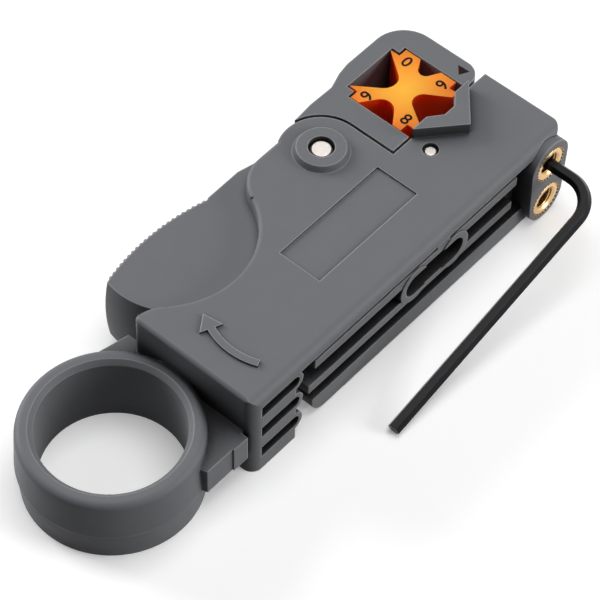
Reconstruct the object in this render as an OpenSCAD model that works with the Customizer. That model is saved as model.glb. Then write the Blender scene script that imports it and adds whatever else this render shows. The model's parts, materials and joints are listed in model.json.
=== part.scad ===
/* [Finger ring] */
// Inside diameter of the finger ring
ring_in_d = 23.5; // [20:0.5:26]
// Outside diameter of the finger ring at its parting line
ring_out_d = 30; // [28:0.5:34]
// Height of the finger ring
ring_h = 13.4; // [11:0.2:15]
// Height of the mould parting line on the ring
ring_part_z = 5.6; // [4:0.2:8]
// Thickness of the web between the ring and the body
neck_t = 5.4; // [3:0.2:7]
// Height of the underside of that web
neck_z = 5; // [3:0.5:7]

/* [Body] */
// Distance from the ring's axis to the front wall
front_y = 14.2; // [14:0.1:18]
// Thickness of the top and bottom plates
plate_t = 2.4; // [1.6:0.1:2.6]
// Distance from the ring's axis to the right side
right_x = 16; // [15.6:0.2:19]
// Distance from the ring's axis to the left edge of the plates
left_x = 15.8; // [15:0.2:17]
// Radius that rounds the right upper edge and the front corner
band_r = 2; // [1:0.2:2.2]
// Radius that rounds the upper edge along the front wall and the cut-out
lip_r = 0.8; // [0.3:0.1:0.9]
// Thickness of the front wall
front_wall_t = 1.5; // [1:0.1:2]
// Thickness of the wall along the middle of the body
web_t = 1.6; // [1.2:0.1:1.8]
// Distance from the ring's axis to the left face of that wall
web_x = 7.4; // [7.2:0.1:7.6]

/* [Thumb cut-out] */
// Radius of the round cut-out over the thumb lever
scoop_r = 15.2; // [13:0.2:17]
// Centre of the cut-out, left of the ring's axis
scoop_x = 17.5; // [17:0.1:19]
// Distance from the front wall to the centre of the cut-out
scoop_l = 15.8; // [15.4:0.1:17]
// Left end of the front wall, left of the ring's axis
front_left_x = 8.7; // [7:0.1:10]
// Radius of the front wall's corner at that end
front_corner_r = 1; // [0.9:0.1:1.6]
// Distance from where the cut-out runs out to the pivot
shoulder_l = 7.5; // [6.5:0.1:9]

/* [Core pockets in the side] */
// Length of the ribbed front block
block_l = 10.6; // [9:0.2:11]
// Depth of the pockets in the side
pocket_depth = 6.4; // [3:0.2:6.6]
// Height of one pocket
pocket_h = 2.4; // [1.6:0.1:2.6]
// Wall round the closed end of a pocket
loop_wall = 0.8; // [0.5:0.1:1.2]

/* [Pivot] */
// Pivot, left of the ring's axis
pivot_x = 9.2; // [9:0.1:9.6]
// Distance from the centre of the cut-out to the pivot
lever_l = 28.5; // [28:0.1:34]
// Diameter of the pivot pin
pivot_d = 3.6; // [3:0.1:4]
// Radius of the plate's end round the pivot
pivot_land_r = 7.2; // [6.6:0.1:7.4]
// Height of the raised boss round the pivot pin
boss_h = 1.1; // [0.6:0.1:1.6]
// Radius of the boss at its foot
boss_r = 4.7; // [4:0.1:5.4]
// Running clearance between the rocker and the pivot pin
pivot_play = 0.05; // [0.02:0.01:0.1]

/* [Jaw] */
// Distance from the pivot to the axis of the cable
jaw_l = 18.9; // [18.6:0.1:20]
// Gap line between the jaw and the body, left of the ring's axis
split_x = 0.5; // [0.3:0.1:0.8]
// Width of the gap between the jaw and the body
jaw_gap = 0.5; // [0.3:0.05:0.6]
// Clearance between the rocker and the plates
plate_play = 0.3; // [0.2:0.05:0.5]
// Side of the square window in the jaw
window = 14.4; // [13.6:0.1:14.6]
// Side of the key in the window's corners
key_side = 1.5; // [1:0.1:2]
// Wall on the left of the window
jaw_wall = 3.2; // [2.4:0.1:3.6]
// Thickness of the ledge under the v block
ledge_t = 1.4; // [1:0.1:2]
// Clearance round the v block
block_play = 0.2; // [0.1:0.05:0.3]
// Height of the raised cable stop
stop_h = 2.2; // [1.4:0.1:3]
// Reach of the cable stop beyond the gap line
stop_l = 6.5; // [6:0.1:7]
// Depth of the cable notch in the stop and plates
notch_depth = 2.1; // [1.6:0.1:2.4]

/* [Thumb lever] */
// Radius of the lever's serrated outer face
thumb_r = 42.7; // [40:0.5:50]
// Outermost reach of the lever, left of the ring's axis
thumb_x = 19.4; // [18.6:0.1:20.5]
// Radius of the lever's rounded end
lever_end_r = 13.2; // [12:0.1:13.4]
// Inner face of the lever, left of the ring's axis
lever_in_x = 0.5; // [0.3:0.1:2]
// Number of grooves in the thumb face
groove_n = 23; // [15:1:28]
// Radius of one groove
groove_r = 0.42; // [0.3:0.02:0.45]
// How far the thumb face bulges at mid height
crown = 1.1; // [0.4:0.1:1.6]

/* [Blade cassette] */
// Recess of the cassette's side behind the body's side
side_set_in = 0.7; // [0.4:0.1:1.2]
// Gap between the front block and the cassette
cassette_gap = 2.2; // [1.5:0.1:3]
// Clearance round the cassette in the body
cassette_play = 0.1; // [0.05:0.01:0.15]
// Thickness of a long rib
rib_t = 1.8; // [1.2:0.1:2]
// Height of the bottom rail
rail_h = 4.2; // [3:0.1:4.4]
// Length of the oval loop between the ribs
loop_l = 16.6; // [12:0.2:20]
// Distance from the cassette's near end to the loop
loop_from = 21.7; // [18:0.1:24]
// Proud height of the screw lug beyond the body's side
lug_out = 1.1; // [0.6:0.1:1.6]
// Radius of the lug round the upper screw
lug_r = 4.6; // [4.2:0.1:4.8]
// Diameter of the pin that holds the cassette
pin_d = 2.2; // [1.8:0.1:2.4]
// Cassette pin, right of the ring's axis
pin_x = 3.5; // [3.3:0.1:4]
// Distance from the cassette pin to the axis of the cable
pin_back = 6.9; // [6.6:0.1:7.4]

/* [Blade adjustment] */
// Distance from the cable's axis to the screws
screw_back = 7.6; // [7.4:0.1:8]
// Distance from the screws to the end of the body
end_l = 4; // [4:0.1:6]
// Height of the lower screw axis
screw_low_z = 4.3; // [4.3:0.1:4.5]
// Distance between the two screw axes
screw_gap = 8.8; // [8.4:0.1:9.4]
// Distance from the upper screw axis to the top plate
screw_cover = 3.2; // [3.2:0.1:4]
// Thread diameter of the set screws
screw_d = 4; // [3:0.5:4]
// Length of a set screw
screw_l = 4; // [3.6:0.2:5]
// Running clearance between a set screw and its insert
screw_play = 0.05; // [0.02:0.01:0.1]
// Outside diameter of a threaded insert
insert_d = 6.6; // [5.4:0.1:7]
// Length of a threaded insert
insert_l = 4.5; // [4:0.1:5]
// Key size of the set screws across flats
key_af = 2; // [1.5:0.5:2]
// Thickness of a blade
blade_t = 0.5; // [0.3:0.05:0.6]
// Width of a blade along its edge
blade_w = 6.8; // [5:0.2:7]
// How far a blade's edge stands out of the notch floor
blade_out = 0.9; // [0.4:0.1:1.2]
// Thickness of the blade slide under the blade
slide_t = 2.6; // [2.4:0.1:2.7]
// Clearance of a blade slide in its channel
slide_play = 0.1; // [0.05:0.01:0.15]

/* [Hex key] */
// Length of the long arm from the corner
key_long = 51.6; // [45:0.2:60]
// Reach of the short arm beyond the lug
key_out = 9.8; // [8:0.2:14]
// Bend radius at the key's middle line
key_bend_r = 5.5; // [3:0.5:7]

/* [Springs] */
// Wire diameter of the lever spring
spring_wire = 0.6; // [0.4:0.05:0.8]
// Mean radius of the lever spring
spring_r = 2.3; // [2:0.1:2.5]
// Working turns of the lever spring
spring_turns = 7; // [5:1:9]
// Distance from the centre of the cut-out to the lever spring
spring_back = 2; // [0:0.5:4]
// Wire diameter of a blade slide spring
small_wire = 0.3; // [0.2:0.05:0.35]
// Mean radius of a blade slide spring
small_r = 0.95; // [0.8:0.05:1]
// Working turns of a blade slide spring
small_turns = 5; // [4:1:6]

/* [Turning mark] */
// Radius of the curved arrow on the top plate
arrow_r = 12.3; // [10:0.1:14]
// Width of the arrow's shaft
arrow_w = 1.3; // [0.8:0.1:1.6]
// How far the arrow stands proud
arrow_h = 0.4; // [0.2:0.1:0.6]

/* [Hidden] */
$fn = 96;
cut = 0.5;                                    // how far a cutting shape runs past a face

plastic = [0.44, 0.45, 0.46];
orange = [1, 0.5, 0.1];
steel = [0.8, 0.79, 0.77];
brass = [0.85, 0.65, 0.36];
black = [0.1, 0.1, 0.11];

scoop_y = front_y + scoop_l;
pivot_y = scoop_y + lever_l;
cable_y = pivot_y + jaw_l;
screw_y = cable_y + screw_back;
back_y = screw_y + end_l;
body_l = back_y - front_y;
shoulder_y = pivot_y - shoulder_l;
spring_y = scoop_y + spring_back;
pin_y = cable_y - pin_back;
screw_high_z = screw_low_z + screw_gap;
ceiling_z = screw_high_z + screw_cover;       // underside of the top plate
body_h = ceiling_z + plate_t;
crease_x = right_x - band_r;
housing_edge_x = -split_x + jaw_gap / 2;
jaw_edge_x = -split_x - jaw_gap / 2;
jaw_arc_r = pivot_land_r + jaw_gap;
land_y = pivot_y + pivot_land_r;              // where the plates end against the jaw
window_x = jaw_edge_x - window;               // left side of the window
pin_well_r = pivot_d / 2 + 0.38;

// The front block's three pockets: heights of their middle lines
pocket_high_z = ceiling_z - 1.5;
pocket_low_z = pocket_h / 2 + 3.25;
pocket_z = [pocket_high_z, (pocket_high_z + pocket_low_z) / 2, pocket_low_z];
pocket_y0 = front_y + band_r;
pocket_end_y = front_y + block_l - pocket_h / 2;
block_x = web_x + 0.1;

// The cassette's own planes
side_x = right_x - side_set_in;
spine_x = web_x + web_t + cassette_play;
spine_t = 1.6;
rib_x = spine_x + spine_t;
cas_y = front_y + block_l + loop_wall + cassette_gap;
loop_y = cas_y + loop_from;
rib_high_z = ceiling_z - 4.1;                 // underside of the upper long rib
rib_low_z = rail_h + 2.8;                     // underside of the lower long rib
nose_x = -split_x + notch_depth + 0.3;        // face of the cassette towards the cable
nose_y = pivot_y + 4.5;
lug_x = right_x + lug_out;
lug_in_x = lug_x - insert_l - 0.3;
lug_low_r = screw_low_z - 0.1;

// The blade slides along X
slide_x = 4;
slide_back_x = 11;
slide_y0 = cable_y - 3.7;
slide_y1 = screw_y + 1.4;
slide_low = 1.8;                              // underside of a slide below its screw axis
blade_edge_x = -split_x + notch_depth - blade_out;
blade_back_x = slide_x + 5;
clamp_x = slide_x + 2.6;
clamp_head_h = 0.8;
channel_up = slide_t - slide_low + blade_t + clamp_head_h + 0.2;
pocket_floor_x = slide_x + 3;
nose_wall_x = slide_x - 1;
cover_x = slide_back_x + 0.7;                 // face that closes the channels on the right
feed_in = 0.9;                                // furthest that a screw drives its slide in

lever_z0 = plate_t + plate_play;
lever_z1 = ceiling_z - plate_play;
lever_end = [-(scoop_x - 2.9), scoop_y + 0.2];
thumb_c = [thumb_r - thumb_x, scoop_y - 1.5];
seat_x = -6;                                  // floor of the spring pocket in the lever
seat_z = (lever_z0 + lever_z1) / 2;
peg_l = 2;

key_drop = asin((screw_high_z - key_af * 0.51) / key_long);

// Radius of the round that leads from the cut-out, tangent, into a straight edge
function lead_r(edge, at) =
    (pow(at - scoop_y, 2) + pow(scoop_x - edge, 2) - pow(scoop_r, 2))
    / (2 * (scoop_r - (scoop_x - edge)));

// Point where the cut-out's circle meets that round
function lead_point(edge, at, r) =
    [-scoop_x, scoop_y] + scoop_r / (scoop_r + r) * ([-edge + r, at] - [-scoop_x, scoop_y]);

front_lead_r = lead_r(front_left_x, front_y);
back_lead_r = lead_r(left_x, shoulder_y);
front_lead_p = lead_point(front_left_x, front_y, front_lead_r);
back_lead_p = lead_point(left_x, shoulder_y, back_lead_r);
front_lead_c = [front_lead_r - front_left_x, front_y];
back_lead_c = [back_lead_r - left_x, shoulder_y];
scoop_c = [-scoop_x, scoop_y];
// centre of the front wall's rounded corner, inside the round of the cut-out's lead
front_corner_c = front_lead_c
    + [-sqrt(pow(front_lead_r - front_corner_r, 2) - pow(front_corner_r, 2)), front_corner_r];

// Direction from one point to another
function heading(from, to) = atan2(to.y - from.y, to.x - from.x);

// The space cut away over the thumb lever, seen from above
module scoop_2d() {
    far = left_x + 2 * cut;
    translate(scoop_c) circle(scoop_r);
    difference() {
        translate([-far, front_y - cut]) square([far + front_lead_p.x, front_lead_p.y - front_y + cut]);
        translate(front_lead_c) circle(front_lead_r);
        translate([-front_left_x, front_y - 2 * cut]) square([front_lead_r, 2 * cut]);
    }
    difference() {
        translate([-far, back_lead_p.y]) square([far + back_lead_p.x, shoulder_y - back_lead_p.y]);
        translate(back_lead_c) circle(back_lead_r);
    }
    // rounded corner of the front wall
    a = heading(front_lead_c, front_corner_c);
    difference() {
        polygon([front_corner_c, front_corner_c + 2 * front_corner_r * [cos(a), sin(a)],
                 [-front_left_x - front_corner_r, front_y - cut], [front_corner_c.x, front_y - cut]]);
        translate(front_corner_c) circle(front_corner_r);
    }
}

// Mouth that the cable lies in, open towards the jaw
module cable_notch_2d() {
    translate([-split_x, cable_y])
        polygon([[-2, -3.9], [0, -3.9], [notch_depth, -1.2], [notch_depth, 1.2], [0, 3.9], [-2, 3.9]]);
}

// Outline shared by the top and bottom plates, up to the given right side
module plate_2d(right) {
    difference() {
        union() {
            translate([-left_x, front_y]) square([left_x + right, pivot_y - front_y]);
            translate([-pivot_x, pivot_y]) square([pivot_x + right, pivot_land_r]);
            translate([-pivot_x, pivot_y]) circle(pivot_land_r);
            translate([housing_edge_x, land_y - cut])
                square([right - housing_edge_x, back_y - land_y + cut]);
        }
        scoop_2d();
        cable_notch_2d();
    }
}

// Section of the finger ring: straight bore, slight draft both ways, round upper rim
module ring_section() {
    ri = ring_in_d / 2;
    ro = ring_out_d / 2;
    rim = 1.3;
    draft = 0.4;
    step = 0.12;
    polygon([[ri, 0], [ro - draft - step, 0], [ro - step, ring_part_z], [ro, ring_part_z],
             [ro - draft, ring_h - rim], [ro - draft - rim, ring_h], [ri + 0.8, ring_h], [ri, ring_h - 0.8]]);
    translate([ro - draft - rim, ring_h - rim]) circle(rim);
}

module finger_ring() {
    rotate_extrude() ring_section();
}

// Web between the ring and the body, wider on the body's side of a mould step
module neck() {
    step = 0.3;
    reach = 4;
    side = right_x - 0.9;
    left = front_left_x + 2.6;
    translate([0, 0, neck_z]) linear_extrude(neck_t) difference() {
        union() {
            polygon([[-left - 1.2, front_y - reach], [-left, front_y + front_wall_t],
                     [side, front_y + front_wall_t], [side, 5], [0, 0]]);
            translate([0, front_y - reach + 0.4]) square([side + step, reach - 0.4 + front_wall_t]);
        }
        circle(ring_in_d / 2 + 1);
    }
}

// One pocket of the front block, seen from the side
module pocket_side(grow) {
    translate([pocket_end_y, 0]) circle(pocket_h / 2 + grow);
    if (grow == 0)
        translate([pocket_y0, -pocket_h / 2]) square([pocket_end_y - pocket_y0, pocket_h]);
}

// Turns a shape drawn as (y, z) into a solid along X
module along_x(x0, x1) {
    translate([x0, 0, 0]) rotate([90, 0, 90]) linear_extrude(x1 - x0) children();
}

module front_block() {
    difference() {
        union() {
            translate([block_x, front_y, 0])
                cube([right_x - block_x, block_l - pocket_h / 2 + 0.4, ceiling_z + cut]);
            for (z = pocket_z)
                along_x(block_x, right_x) translate([0, z]) pocket_side(loop_wall);
        }
        for (z = pocket_z)
            along_x(right_x - pocket_depth, right_x + cut) translate([0, z]) pocket_side(0);
    }
}

// Raised stop with the notch that backs the cable
module cable_stop() {
    half = stop_l * 1.1;
    translate([0, 0, body_h - 0.1]) linear_extrude(stop_h + 0.1) difference() {
        translate([housing_edge_x, cable_y])
            polygon([[0, -half], [stop_l - jaw_gap / 2, 0], [0, half]]);
        cable_notch_2d();
    }
}

// Curved arrow that shows which way the tool is turned round the cable
module turn_arrow() {
    half_angle = 23.2;
    far = 2 * arrow_r;
    translate([arrow_r * sin(half_angle) + 1.8, front_y + 17.6, body_h - 0.01]) linear_extrude(arrow_h + 0.01) {
        intersection() {
            difference() {
                circle(arrow_r + arrow_w / 2);
                circle(arrow_r - arrow_w / 2);
            }
            polygon([[0, 0], [-far * sin(half_angle), -far * cos(half_angle)],
                     [far * sin(half_angle), -far * cos(half_angle)]]);
        }
        rotate(-half_angle) translate([0, -arrow_r]) polygon([[0, -2], [0, 2], [-3.1, 0]]);
    }
}

// What rounds the long right edge of the top plate
module band_cut() {
    translate([crease_x, front_y - cut, body_h - band_r]) difference() {
        cube([band_r + cut, body_l + 2 * cut, band_r + cut]);
        rotate([-90, 0, 0]) cylinder(r = band_r, h = body_l + 2 * cut);
    }
}

// Section of what rounds an upper edge; side is 1 where the material lies towards the axis.
// The round is a little larger than its square, so that it meets both faces at an angle.
module lip_section(r, side) {
    difference() {
        translate([side > 0 ? r - lip_r : r - cut, body_h - lip_r]) square(lip_r + cut);
        translate([r - side * lip_r, body_h - lip_r]) circle(lip_r * 1.03, $fn = 32);
    }
}

// The same round along an arc of the plate's outline
module lip_arc(centre, r, from, to, side) {
    translate(centre) rotate(from) rotate_extrude(angle = to - from) lip_section(r, side);
}

// What rounds the upper edge along the front wall and the cut-out, up to the pivot's land.
// Each arc stops a hair short of its neighbour, so that no two cuts touch.
module lip_cuts() {
    hair = 0.05;
    corner_a = heading(front_lead_c, front_corner_c);
    front_a = heading(front_lead_c, scoop_c);
    back_a = heading(scoop_c, back_lead_c);
    land_from_y = pivot_y - sqrt(pow(pivot_land_r, 2) - pow(left_x - pivot_x, 2)) - hair;
    translate([front_corner_c.x, front_y, 0]) rotate([90, 0, 90])
        linear_extrude(right_x + cut - front_corner_c.x) mirror([1, 0]) lip_section(0, 1);
    lip_arc(front_corner_c, front_corner_r, corner_a + 6 * hair, 270, 1);
    lip_arc(front_lead_c, front_lead_r, front_a, corner_a, 1);
    lip_arc(scoop_c, scoop_r, front_a - 180 + hair, back_a - hair, -1);
    lip_arc(back_lead_c, back_lead_r, 180, back_a + 180, 1);
    translate([-left_x, land_from_y, 0]) rotate([90, 0, 0])
        linear_extrude(land_from_y - shoulder_y) mirror([1, 0]) lip_section(0, 1);
}

// What rounds an upright corner at the right side
module corner_cut(y, side) {
    translate([crease_x, y, -cut]) difference() {
        translate([0, side < 0 ? -band_r - cut : 0, 0]) cube([band_r + cut, band_r + cut, body_h + 2 * cut]);
        cylinder(r = band_r, h = body_h + 2 * cut);
    }
}

module housing() {
    label = [8.2, 23.4];
    label_y = pivot_y - 19.9;
    label_deep = 0.3;
    color(plastic) difference() {
        union() {
            finger_ring();
            neck();
            intersection() {
                linear_extrude(body_h) plate_2d(right_x);
                translate([-left_x, front_y, 0]) cube([left_x + right_x, front_wall_t, body_h]);
            }
            translate([0, 0, ceiling_z]) linear_extrude(plate_t) plate_2d(right_x);
            linear_extrude(plate_t) plate_2d(web_x + web_t);
            front_block();
            translate([web_x, front_y, 0]) cube([web_t, pivot_y + 1.5 - front_y, body_h - 1]);
            translate([nose_x, back_y - 1.6, 0]) cube([crease_x - 2.4 - nose_x, 1.6, body_h - 1]);
            translate([web_x - peg_l, spring_y, seat_z]) rotate([0, 90, 0])
                cylinder(r = spring_r - spring_wire, h = peg_l + 0.2);
            translate([-pivot_x, pivot_y, body_h - 0.01])
                cylinder(r1 = boss_r, r2 = boss_r - 0.6, h = boss_h + 0.01);
            cable_stop();
            turn_arrow();
        }
        translate([0, 0, -cut]) cylinder(d = ring_in_d, h = ring_h + 2 * cut);
        band_cut();
        lip_cuts();
        corner_cut(pocket_y0, -1);
        corner_cut(back_y - band_r, 1);
        translate([-pivot_x, pivot_y, -cut]) cylinder(d = pivot_d + 0.02, h = body_h + boss_h + 2 * cut);
        translate([-pivot_x, pivot_y, body_h + boss_h - 1.6]) cylinder(r = pin_well_r, h = 1.6 + cut);
        translate([pin_x, pin_y, -cut]) cylinder(d = pin_d + 0.02, h = body_h + 2 * cut);
        translate([pin_x, pin_y, body_h - 0.9]) cylinder(r = pin_d / 2 + 0.27, h = 0.9 + cut);
        translate([-split_x + 0.1, label_y, body_h - label_deep]) cube([label.x, label.y, label_deep + cut]);
        along_x(lug_in_x - cassette_play, right_x + cut)
            translate([screw_y, screw_high_z]) circle(lug_r + 0.2);
    }
}

// Groove cutters spaced along the thumb face
module grooves() {
    // the ridged length starts before the cut-out's centre and ends behind it
    before = 11.6;
    behind = 10.4;
    from = asin((scoop_y - before - thumb_c.y) / thumb_r);
    to = asin((scoop_y + behind - thumb_c.y) / thumb_r);
    for (i = [0 : groove_n - 1])
        let (a = 180 - (from + (to - from) * i / (groove_n - 1)))
            translate([thumb_c.x + (thumb_r + 0.12) * cos(a), thumb_c.y + (thumb_r + 0.12) * sin(a), lever_z0 - cut])
                cylinder(r = groove_r, h = lever_z1 - lever_z0 + 2 * cut, $fn = 16);
}

// A disc whose rim bulges at mid height, to crown the thumb face and the lever's end
module crowned_disc(r, bulge) {
    h = lever_z1 - lever_z0;
    arc_r = (h * h / 4 + bulge * bulge) / (2 * bulge);
    translate([0, 0, lever_z0]) rotate_extrude() intersection() {
        square([r + bulge, h]);
        union() {
            square([r - 3, h]);
            translate([r + bulge - arc_r, h / 2]) circle(arc_r);
        }
    }
}

// The lever half of the rocker, between the plates
module lever() {
    rear = pivot_y + 5.5;
    union() {
        intersection() {
            translate([lever_end.x, lever_end.y, 0]) crowned_disc(lever_end_r - crown / 2, crown / 2);
            translate([thumb_c.x, thumb_c.y, 0]) crowned_disc(thumb_r - crown * 0.3, crown * 0.3);
        }
        intersection() {
            translate([thumb_c.x, thumb_c.y, 0]) crowned_disc(thumb_r - crown * 0.3, crown * 0.3);
            translate([-thumb_x, scoop_y, lever_z0])
                cube([thumb_x - lever_in_x, 12, lever_z1 - lever_z0]);
        }
        translate([0, 0, lever_z0]) linear_extrude(lever_z1 - lever_z0)
            polygon([[-thumb_x + 1.8, scoop_y + 10.5], [-left_x - 1.9, scoop_y + 18],
                     [-left_x - 0.7, shoulder_y + 2], [-left_x - 0.7, rear], [-pivot_x, rear + 2],
                     [-1.2, rear], [-1.2, shoulder_y - 1], [-lever_in_x, scoop_y + 12],
                     [-lever_in_x, scoop_y + 8], [-12, scoop_y + 6]]);
    }
}

// Outline of the jaw, seen from above
module jaw_2d() {
    out_x = window_x - jaw_wall;
    top_y = cable_y + window / 2 + 4.4;
    r = 6;
    difference() {
        union() {
            translate([out_x, cable_y - 2]) square([-out_x + jaw_edge_x, top_y - cable_y + 2 - r]);
            translate([out_x + r, top_y - r]) circle(r);
            translate([out_x + r, cable_y]) square([-out_x - r + jaw_edge_x, top_y - cable_y]);
            polygon([[jaw_edge_x, pivot_y], [jaw_edge_x, cable_y], [out_x, cable_y - 2], [out_x + 0.4, cable_y - 4.4],
                     [-left_x - 1.1, cable_y - 7.6], [-left_x - 1.2, land_y - 1], [-left_x - 1, pivot_y + 4],
                     [-left_x - 0.7, pivot_y + 0.4], [-pivot_x, pivot_y]]);
        }
        translate([-pivot_x, pivot_y]) circle(jaw_arc_r);
        translate([-pivot_x, pivot_y - jaw_arc_r]) square([pivot_x, 2 * jaw_arc_r]);
        translate([jaw_edge_x - 3, top_y - 3]) difference() {
            square(3 + cut);
            circle(3);
        }
    }
}

// Window in the jaw with its two corner keys
module window_2d() {
    difference() {
        translate([window_x, cable_y - window / 2]) square([window + 2, window]);
        for (s = [-1, 1])
            translate([window_x + key_side / 2 - 0.01, cable_y + s * (window - key_side) / 2])
                square(key_side, center = true);
    }
}

module rocker() {
    color(plastic) difference() {
        union() {
            difference() {
                lever();
                grooves();
            }
            linear_extrude(body_h) jaw_2d();
            // neck of the rocker between the plates, round the pivot and up to the jaw
            translate([0, 0, lever_z0]) linear_extrude(lever_z1 - lever_z0) {
                translate([-pivot_x, pivot_y]) circle(pivot_land_r - 0.4);
                translate([-left_x - 0.7, pivot_y]) square([left_x + 0.7 + jaw_edge_x, jaw_arc_r + 1]);
            }
        }
        translate([-pivot_x, pivot_y, -cut]) cylinder(d = pivot_d + 2 * pivot_play, h = body_h + 2 * cut);
        translate([0, 0, ledge_t]) linear_extrude(body_h) window_2d();
        translate([window_x + 1.2, cable_y - window / 2 + 1.2, -cut])
            cube([window, window - 2.4, ledge_t + 2 * cut]);
        translate([seat_x, spring_y, seat_z]) rotate([0, 90, 0])
            cylinder(r = spring_r + spring_wire, h = -seat_x + 2);
    }
}

// A v notch with a round root, cut down from an edge that lies along X
module v_notch_2d(mouth, depth, root_r) {
    centre = [0, root_r - depth];
    corner = [mouth / 2, 0];
    gap = corner - centre;
    a = atan2(gap.y, gap.x) - acos(root_r / norm(gap));
    touch = centre + root_r * [cos(a), sin(a)];
    over = corner + (corner - touch) / norm(corner - touch);
    translate(centre) circle(root_r);
    polygon([[-over.x, over.y], [-touch.x, touch.y], centre, touch, over]);
}

module v_block() {
    side = window - 2 * block_play;
    bite = key_side + block_play;
    color(orange) translate([window_x + window / 2, cable_y, ledge_t + 0.1])
        linear_extrude(body_h - ledge_t - 0.2) difference() {
            square(side, center = true);
            // mouth, depth and root radius of the notches, from the cable's side round to the left
            for (n = [[-90, 8.2, 4.6, 2], [0, 4.4, 2.6, 1.3], [90, 10.2, 5.3, 2.5], [180, 7.2, 3.5, 2.2]])
                rotate(n[0]) translate([0, side / 2]) v_notch_2d(n[1], n[2], n[3]);
            for (sx = [-1, 1], sy = [-1, 1])
                translate([sx * (side - bite) / 2, sy * (side - bite) / 2]) square(bite + 0.01, center = true);
        }
}

// A straight pin with a chamfer at each end
module pin(d, h) {
    c = 0.25;
    rotate_extrude()
        polygon([[0, 0], [d / 2 - c, 0], [d / 2, c], [d / 2, h - c], [d / 2 - c, h], [0, h]]);
}

module pivot_pin() {
    color(steel) translate([-pivot_x, pivot_y, 0.3]) pin(pivot_d, body_h + boss_h - 0.8);
}

module cassette_pin() {
    color(steel) translate([pin_x, pin_y, 0.3]) pin(pin_d, body_h - 0.7);
}

// Closed coil spring along X, flat rings at its two ends
module coil_spring(x0, x1, y, z, r, wire, turns) {
    sides = 8;
    per_turn = 14;
    steps = turns * per_turn;
    span = x1 - x0 - wire;
    ring = [for (i = [0 : steps]) let (t = i / steps, a = 360 * turns * t)
        [for (k = [0 : sides - 1]) let (b = 360 * k / sides, rr = r + wire / 2 * cos(b))
            [x0 + wire / 2 + span * t + wire / 2 * sin(b), y + rr * cos(a), z + rr * sin(a)]]];
    points = [for (q = ring) for (p = q) p];
    faces = concat(
        [for (i = [0 : steps - 1], k = [0 : sides - 1])
            [i * sides + k, i * sides + (k + 1) % sides,
             (i + 1) * sides + (k + 1) % sides, (i + 1) * sides + k]],
        [[for (k = [sides - 1 : -1 : 0]) k]],
        [[for (k = [0 : sides - 1]) steps * sides + k]]);
    polyhedron(points, faces, convexity = 10);
}

module lever_spring() {
    color(steel) coil_spring(seat_x + 0.05, web_x - 0.05, spring_y, seat_z, spring_r, spring_wire, spring_turns);
}

// Lug that carries the two threaded inserts, seen from the side
module lug_2d() {
    translate([screw_y, screw_high_z]) circle(lug_r);
    translate([screw_y, screw_low_z]) circle(lug_low_r);
    dz = screw_high_z - screw_low_z;
    a = asin((lug_r - lug_low_r) / dz);
    polygon([for (s = [-1, 1], e = [[lug_r, screw_high_z], [lug_low_r, screw_low_z]])
        let (k = s < 0 ? e : (e[0] == lug_r ? [lug_low_r, screw_low_z] : [lug_r, screw_high_z]))
            [screw_y + s * k[0] * cos(a), k[1] - k[0] * sin(a)]]);
}

// Channel for one blade slide, open towards the cable where the blade passes
module slide_channel(z) {
    low = slide_low + slide_play;
    translate([nose_wall_x, slide_y0 - slide_play, z - low])
        cube([cover_x - nose_wall_x, slide_y1 - slide_y0 + 2 * slide_play, low + channel_up]);
    translate([slide_back_x - feed_in - 0.2, screw_y, z]) rotate([0, 90, 0])
        cylinder(d = screw_d + 0.4, h = lug_x - slide_back_x + feed_in);
    translate([nose_x - cut, cable_y - blade_w / 2 - slide_play, z - low])
        cube([nose_wall_x - nose_x + 2 * cut, blade_w + 2 * slide_play, low + channel_up]);
}

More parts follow.
